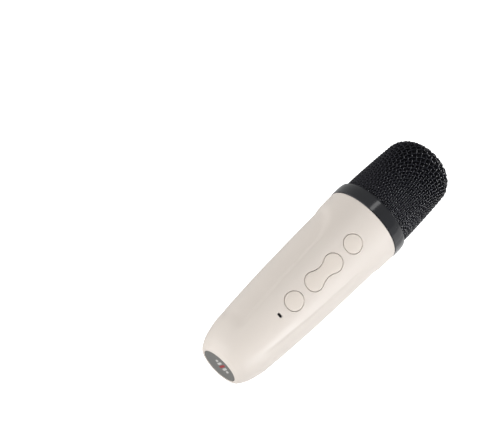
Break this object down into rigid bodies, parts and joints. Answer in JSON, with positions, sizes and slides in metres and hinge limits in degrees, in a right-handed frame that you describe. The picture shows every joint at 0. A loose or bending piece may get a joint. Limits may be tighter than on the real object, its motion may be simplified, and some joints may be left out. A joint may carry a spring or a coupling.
{
  "type": "karaoke microphone",
  "caption": "Cordless handheld karaoke microphone: tapered handle with round keys and a waisted volume rocker, gloss collar and domed woven-wire head that unscrews.",
  "frame": {"origin": "centre of the flat tail that the microphone stands on", "axes": "+Z along the handle to the domed head, -Y the side with the keys, +X to the right when the keys face the viewer"},
  "size_m": [0.0394, 0.0394, 0.1424],
  "materials": {
    "handle_cream": "satin",
    "key_cream": "satin",
    "label_dark": "satin",
    "collar_black": "gloss",
    "grille_black": "satin",
    "foam_black": "matte",
    "frame_black": "matte",
    "board_green": "satin",
    "switch_black": "satin",
    "plunger_ivory": "matte",
    "screw_steel": "satin",
    "shield_steel": "satin",
    "chip_black": "matte",
    "led_lens": "gloss",
    "light_pipe_smoke": "gloss",
    "cell_sleeve": "satin",
    "rubber_black": "matte",
    "capsule_metal": "satin",
    "lead_red": "satin",
    "lead_black": "satin"
  },
  "bodies": {
    "handle": {"body_shell": "handle_cream", "end_label": "label_dark", "end_screw": "screw_steel", "inner_frame": "frame_black", "board_screw_upper": "screw_steel", "board_screw_lower": "screw_steel", "main_board": "board_green", "charge_board_screw_right": "screw_steel", "charge_board_screw_left": "screw_steel", "top_switch": "switch_black", "volume_up_switch": "switch_black", "volume_down_switch": "switch_black", "bottom_switch": "switch_black", "status_led": "led_lens", "light_pipe": "light_pipe_smoke", "radio_module": "shield_steel", "controller_chip": "chip_black", "rocker_fulcrum": "frame_black", "charge_board": "board_green", "usb_c_socket": "shield_steel", "battery_cell": "cell_sleeve", "battery_pad": "rubber_black", "threaded_neck": "frame_black", "deck_screw_right": "screw_steel", "deck_screw_left": "screw_steel", "capsule_deck": "frame_black", "capsule_boot": "rubber_black", "mic_capsule": "capsule_metal", "capsule_lead_signal": "lead_red", "capsule_lead_ground": "lead_black", "battery_lead_positive": "lead_red", "battery_lead_negative": "lead_black", "charge_lead_positive": "lead_red", "charge_lead_negative": "lead_black"},
    "top_key": {"top_button": "key_cream", "top_plunger": "plunger_ivory"},
    "bottom_key": {"bottom_button": "key_cream", "bottom_plunger": "plunger_ivory"},
    "volume_key": {"volume_rocker": "key_cream"},
    "volume_up_dome": {"volume_up_plunger": "plunger_ivory"},
    "volume_down_dome": {"volume_down_plunger": "plunger_ivory"},
    "head_seal": {"head_gasket": "rubber_black"},
    "head": {"collar_ring": "collar_black", "grille_mesh": "grille_black", "grille_foam": "foam_black", "mesh_clamp_ring": "screw_steel"}
  },
  "joints": [
    {"name": "top_button_press", "type": "slide", "parent": "handle", "child": "top_key", "axis": [0, 1, 0], "range_m": [0, 0.00025], "stiffness_N_per_m": 4000},
    {"name": "bottom_button_press", "type": "slide", "parent": "handle", "child": "bottom_key", "axis": [0, 1, 0], "range_m": [0, 0.00025], "stiffness_N_per_m": 4000},
    {"name": "volume_rock", "type": "hinge", "parent": "handle", "child": "volume_key", "pos_m": [0, -0.0152, 0.0585], "axis": [1, 0, 0], "range_deg": [-2, 2], "stiffness_Nm_per_rad": 0.15},
    {"name": "volume_up_dome_press", "type": "slide", "parent": "handle", "child": "volume_up_dome", "axis": [0, 1, 0], "range_m": [0, 0.00025], "stiffness_N_per_m": 4000},
    {"name": "volume_down_dome_press", "type": "slide", "parent": "handle", "child": "volume_down_dome", "axis": [0, 1, 0], "range_m": [0, 0.00025], "stiffness_N_per_m": 4000},
    {"name": "head_lift", "type": "slide", "parent": "handle", "child": "head_seal", "axis": [0, 0, 1], "range_m": [0, 0.003]},
    {"name": "head_turn", "type": "hinge", "parent": "head_seal", "child": "head", "pos_m": [0, 0, 0.0944], "axis": [0, 0, 1], "range_deg": [0, 540.02]}
  ],
  "couplings": [
    {"joint": "head_turn", "follows": "head_lift", "rad_per_m": 3141.6}
  ]
}
